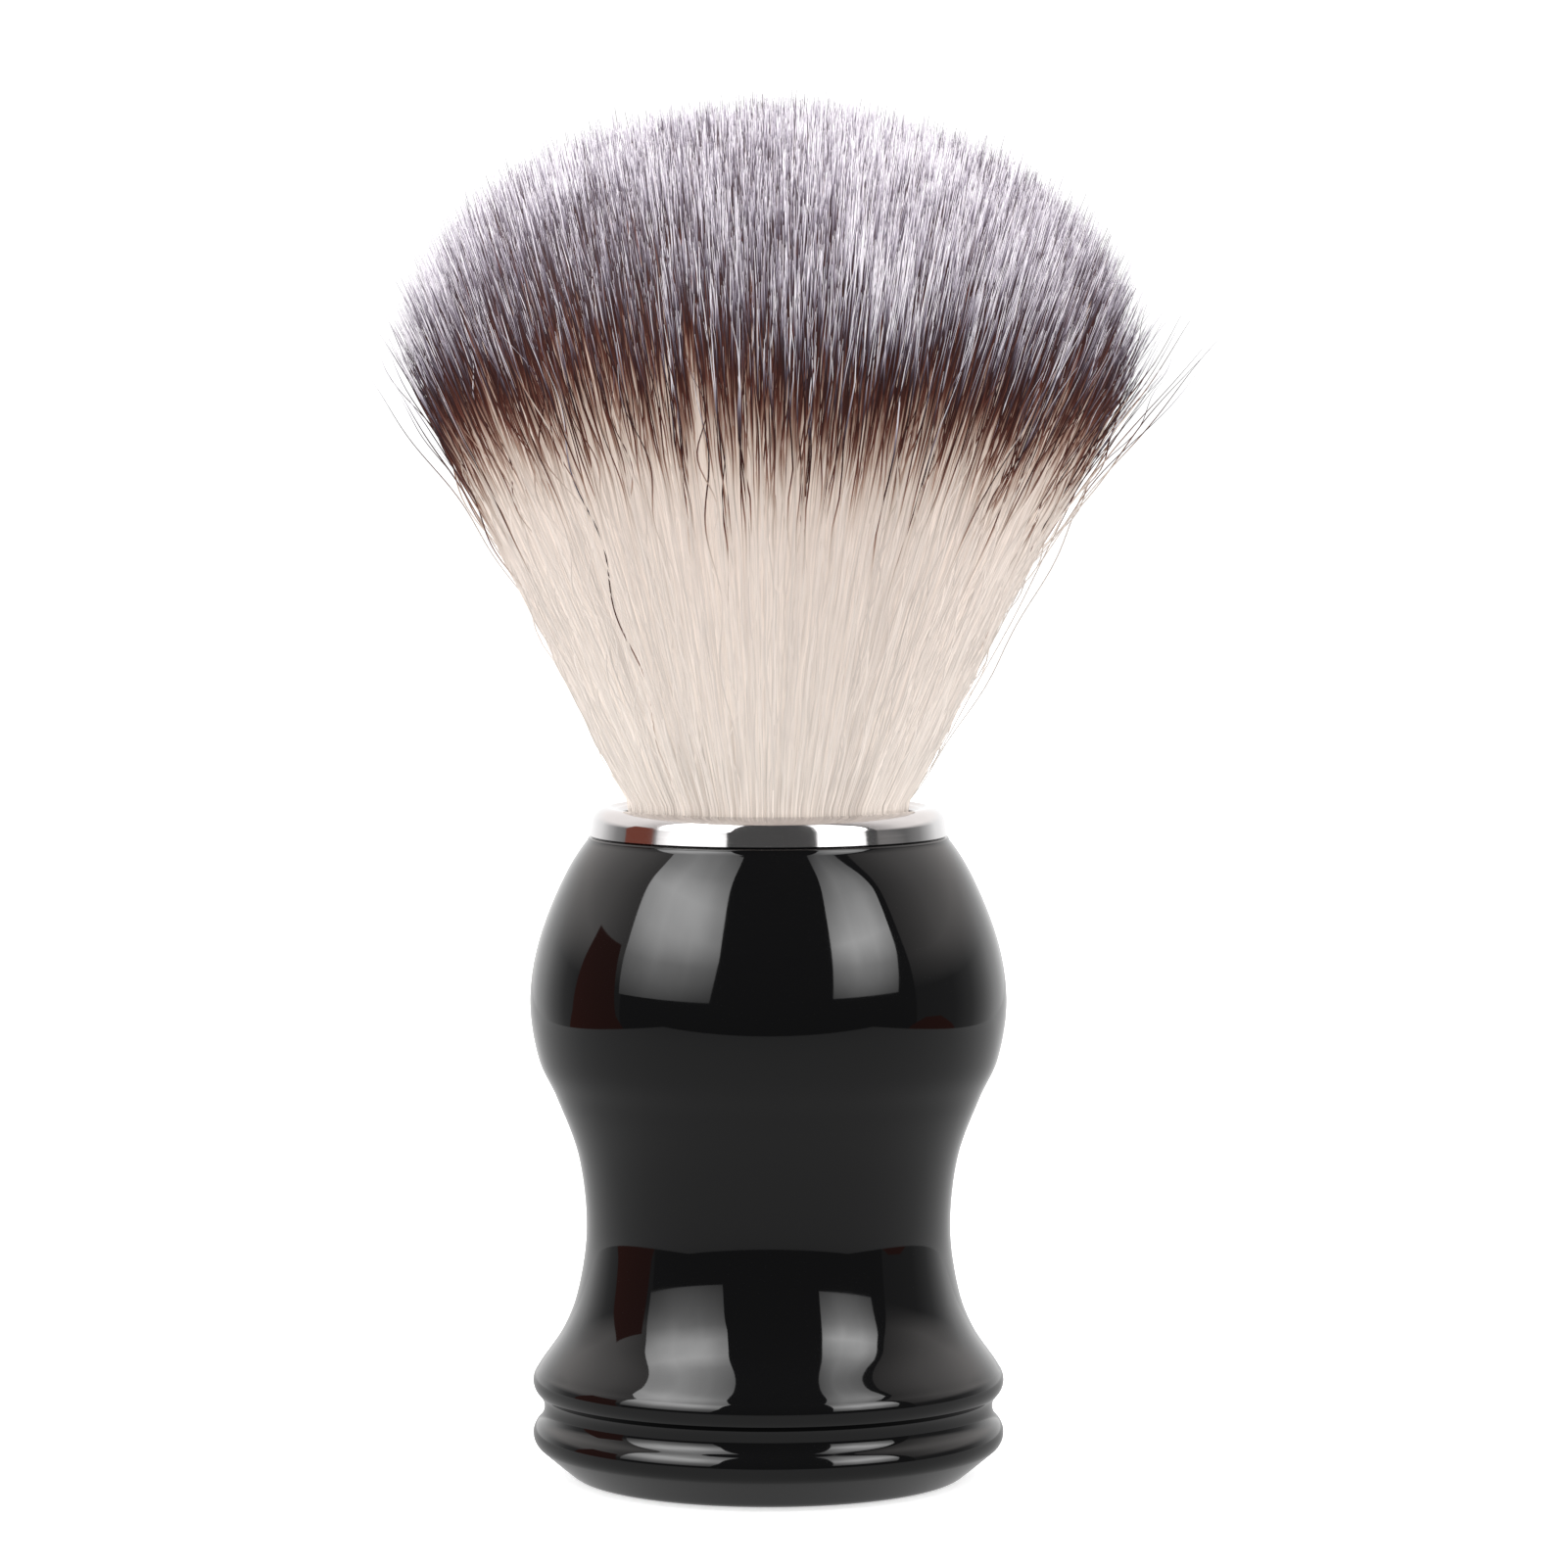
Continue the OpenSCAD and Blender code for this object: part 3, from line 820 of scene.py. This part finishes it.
def emission(name, colour, strength):
    """A material that only glows, as (material, tree, emission shader)."""
    made = bpy.data.materials.new(name)
    made.use_nodes = True
    made.cycles.emission_sampling = "NONE"
    tree = made.node_tree
    tree.nodes.clear()
    glow = add(tree, "ShaderNodeEmission", Color=(*colour, 1), Strength=strength)
    out = tree.nodes.new("ShaderNodeOutputMaterial")
    tree.links.new(glow.outputs[0], out.inputs[0])
    return made, tree, glow


def card(name, rows, distance, material):
    """A curved card seen only in reflections. rows are (elevation, azimuth from, azimuth to) in degrees, from
    the lowest up."""
    steps = 20
    known = np.array(rows, float)
    points, faces, places = [], [], []
    for i in range(steps + 1):
        elevation = known[0, 0] + (known[-1, 0] - known[0, 0]) * i / steps
        start = np.interp(elevation, known[:, 0], known[:, 1])
        end = np.interp(elevation, known[:, 0], known[:, 2])
        for k in range(steps + 1):
            points.append(STUDIO_CENTRE + direction(start + (end - start) * k / steps, elevation) * distance)
            places.append((k / steps, i / steps))
    for i in range(steps):
        for k in range(steps):
            a = i * (steps + 1) + k
            faces.append((a, a + 1, a + steps + 2, a + steps + 1))
    made = mesh_piece(name, points, faces, material)
    layer = made.data.uv_layers.new(name="card")
    for loop in made.data.loops:
        layer.data[loop.index].uv = places[loop.vertex_index]
    only_reflected(made)
    return made


def only_reflected(thing):
    """Hides a stage object from everything but reflections."""
    thing.visible_camera = False
    thing.visible_diffuse = False
    thing.visible_shadow = False
    thing.visible_transmission = False


def greys(stops):
    """The stops of a ramp from (place, level)."""
    return [(place, (level, level, level)) for place, level in stops]


def graded_glow(name, stops, span):
    """A glow whose strength changes along the object's y. stops are (share of the span, radiance)."""
    made, tree, glow = emission(name, (1, 1, 1), 1)
    parts = add(tree, "ShaderNodeSeparateXYZ", Vector=object_place(tree))
    share = spread(tree, parts.outputs[1], *span, 0, 1)
    feed(tree, glow.inputs["Color"], ramp(tree, share, greys(stops)))
    return made


def backdrop_face():
    """The white sheet behind the brush, which dims towards its sides."""
    made, tree, glow = emission("backdrop_face", (1, 1, 1), 1.15)
    on_card = add(tree, "ShaderNodeUVMap", {"uv_map": "card"}).outputs[0]
    from_side = add(tree, "ShaderNodeSeparateXYZ", Vector=on_card)
    share = calc(tree, "PINGPONG", from_side.outputs[0], 0.5)
    near_table = ramp(tree, share, greys([(0.12, 0.14), (0.19, 0.26), (0.24, 0.5), (0.30, 0.85), (0.38, 1)]))
    levels = [(0, 0.4), (0.06, 0.6), (0.13, 0.85), (0.24, 1)]
    overhead = ramp(tree, share, [(place, (level, level * 0.96, level * 0.94)) for place, level in levels])
    high = spread(tree, from_side.outputs[1], 0.27, 0.42, 0, 1)
    feed(tree, glow.inputs["Color"], mix(tree, high, near_table, overhead))
    return made


def softbox_face(name, levels):
    """A softbox's cloth: brightest part way up, weaker at its edges, and slightly mottled. levels are (share
    of the height, radiance)."""
    made, tree, glow = emission(name, (1, 1, 1), 1)
    on_card = add(tree, "ShaderNodeUVMap", {"uv_map": "card"}).outputs[0]
    parts = add(tree, "ShaderNodeSeparateXYZ", Vector=on_card)
    peak = max(level for _, level in levels)
    up = ramp(tree, parts.outputs[1], greys([(place, level / peak) for place, level in levels]))
    edge = ramp(tree, parts.outputs[0], greys([(0, 0.62), (0.35, 1), (0.7, 0.92), (1, 0.6)]))
    mottle = spread(tree, noise(tree, on_card, 3, 2), 0.3, 0.7, 0.93, 1.05)
    strength = calc(tree, "MULTIPLY", calc(tree, "MULTIPLY", up, edge), calc(tree, "MULTIPLY", mottle, peak))
    feed(tree, glow.inputs["Strength"], strength)
    return made


def plane(name, x_range, y_range, z, material):
    """A flat stage sheet."""
    (x0, x1), (y0, y1) = x_range, y_range
    made = mesh_piece(name, [(x0, y0, z), (x1, y0, z), (x1, y1, z), (x0, y1, z)], [(0, 1, 2, 3)], material)
    return made


def pale_floor():
    """Matt white paper with faint fibre, which glows towards its far side like the backdrop it runs into."""
    made, tree, shader = new_material("pale_floor")
    place = object_place(tree)
    speckle = noise(tree, place, 900, 3)
    feed(tree, shader.inputs["Base Color"], ramp(tree, speckle, greys([(0.3, 0.80), (0.7, 0.84)])))
    shader.inputs["Roughness"].default_value = 0.9
    shader.inputs["Specular IOR Level"].default_value = 0.1
    shader.inputs["Emission Color"].default_value = (1, 1, 1, 1)
    reach = add(tree, "ShaderNodeVectorMath", {"operation": "LENGTH"}, Vector=place).outputs["Value"]
    feed(tree, shader.inputs["Emission Strength"], spread(tree, reach, 0.06, 0.35, 0.5, 1.1))
    return made


def area_light(name, azimuth, elevation, distance, width, height, power):
    """A soft rectangular light that faces the brush. It is hidden from reflections; the softboxes' reflections
    are drawn by their cards.
    """
    data = bpy.data.lights.new(name, "AREA")
    data.shape = "RECTANGLE"
    data.size, data.size_y = width, height
    data.energy = power
    made = bpy.data.objects.new(name, data)
    made.location = STUDIO_CENTRE + direction(azimuth, elevation) * distance
    made.rotation_euler = (-direction(azimuth, elevation)).to_track_quat("-Z", "Y").to_euler()
    made.visible_glossy = False
    made.visible_camera = False
    bpy.context.scene.collection.objects.link(made)


def make_world(seen, ambient):
    """White behind the brush, and a dimmer light from every side onto it."""
    world = bpy.data.worlds.new("studio")
    world.use_nodes = True
    tree = world.node_tree
    tree.nodes.clear()
    backdrop = add(tree, "ShaderNodeBackground", Color=(1, 1, 1, 1), Strength=seen)
    room = add(tree, "ShaderNodeBackground", Color=(1, 1, 1, 1), Strength=ambient)
    ray = tree.nodes.new("ShaderNodeLightPath")
    either = tree.nodes.new("ShaderNodeMixShader")
    out = tree.nodes.new("ShaderNodeOutputWorld")
    tree.links.new(ray.outputs["Is Camera Ray"], either.inputs[0])
    tree.links.new(room.outputs[0], either.inputs[1])
    tree.links.new(backdrop.outputs[0], either.inputs[2])
    tree.links.new(either.outputs[0], out.inputs[0])
    bpy.context.scene.world = world


# Lamps: azimuth, elevation, distance, width, height, watts
LAMPS = {
    "key_left": (-58, 34, 0.8, 0.75, 0.8, 4.4),
    "key_right": (54, 30, 0.8, 0.5, 0.75, 3.4),
    "back": (180, 48, 0.9, 1.4, 0.9, 8),
    "overhead": (0, 82, 0.9, 1.2, 1.2, 12),
    "rim_left": (-112, 18, 0.9, 0.6, 0.7, 8),
    "rim_right": (112, 18, 0.9, 0.6, 0.7, 8),
    "fill": (0, 8, 0.95, 0.9, 0.5, 6.2),
}
# How bright each softbox is from its foot to its head, and the outlines that the cards fill in a reflection
LEFT_LEVELS = [(0, 1.2), (0.08, 2.0), (0.24, 3.6), (0.42, 7.5), (0.58, 8.8), (0.75, 5.5), (1, 3.0)]
LEFT_OUTLINE = [(6, -76, -28), (25, -79, -25), (45, -84, -26), (66, -90, -26)]
RIGHT_LEVELS = [(0, 1.8), (0.2, 4.8), (0.38, 9.0), (0.6, 5.2), (0.8, 3.2), (1, 1.2)]
RIGHT_OUTLINE = [(8, 31, 65), (24, 33, 70), (40, 35, 71), (50, 37, 69), (66, 41, 62)]
BACKDROP_OUTLINE = [(-12, 75, 285), (62, 75, 285)]
CLUTTER_LEFT_OUTLINE = [(-13, -112, -72), (-4, -107, -77), (8, -105, -79), (22, -101, -82)]
CLUTTER_RIGHT_OUTLINE = [(-13, 68, 104), (-9, 72, 98), (-5, 80, 90)]


def make_stage():
    """Floor, backdrop, softboxes and lamps."""
    make_world(seen=1.15, ambient=0.09)
    floor = plane("floor_sheet", (-3, 3), (-3, 3), 0, pale_floor())
    floor.visible_glossy = False
    floor.visible_diffuse = False
    lit_top = graded_glow("table_glow", [(0, 0.38), (0.5, 0.52), (1, 0.95)], (-0.17, 0.2))
    only_reflected(plane("table_reflected", (-0.2, 0.2), (-0.17, 0.9), -0.2 * MM, lit_top))
    card("softbox_left", LEFT_OUTLINE, 0.8, softbox_face("softbox_left", LEFT_LEVELS))
    card("softbox_right", RIGHT_OUTLINE, 0.8, softbox_face("softbox_right", RIGHT_LEVELS))
    card("backdrop", BACKDROP_OUTLINE, 0.9, backdrop_face())
    wood = emission("brown_things", (0.22, 0.07, 0.05), 1)[0]
    card("clutter_left", CLUTTER_LEFT_OUTLINE, 0.7, wood)
    card("clutter_right", CLUTTER_RIGHT_OUTLINE, 0.7, wood)
    for name, measures in LAMPS.items():
        area_light(name, *measures)


def make_camera():
    """The camera, at the photograph's viewing angle."""
    data = bpy.data.cameras.new("camera")
    data.lens = CAMERA_LENS_MM
    data.sensor_width = CAMERA_SENSOR_MM
    data.clip_start, data.clip_end = 10 * MM, 100
    made = bpy.data.objects.new("camera", data)
    made.location = (CAMERA_SIDE, -CAMERA_DISTANCE, CAMERA_HEIGHT)
    made.rotation_euler = (math.radians(90) - CAMERA_PITCH, 0, 0)
    bpy.context.scene.collection.objects.link(made)
    bpy.context.scene.camera = made


# ---------------------------------------------------------------- the scene

make_camera()
make_stage()
bpy.context.scene.view_settings.view_transform = "Standard"

turned_like("handle_body", "handle_shell", gloss_black(), "handle_black", segments=256, steps=2)
turned_like("collar", "collar_ring", polished_chrome(), "collar_chrome", segments=256, steps=3)
turned_like("foot_plug", "base_plug", satin_black(), "plug_black", segments=128, steps=3)

for node, finish in {
    "base_weight": turned_steel(),
    "knot_ferrule": cast("ferrule_white", (0.80, 0.80, 0.77), (0.70, 0.70, 0.66), 0.35, 600, 0.01 * MM),
    "knot_resin": cast("resin", (0.62, 0.50, 0.27), (0.50, 0.36, 0.15), 0.12, 350, 0.03 * MM),
    "socket_adhesive": cast("adhesive", (0.66, 0.58, 0.36), (0.52, 0.43, 0.22), 0.3, 420, 0.05 * MM),
    "binding_cord": laid_cord(),
}.items():
    for material_slot in nodes[node].material_slots:
        material_slot.material = finish

fibre = dyed_fibre_with_root_shade()
bundle = make_fibres(fibre)
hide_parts("bristle_roots", "bristle_belly", "bristle_crown")
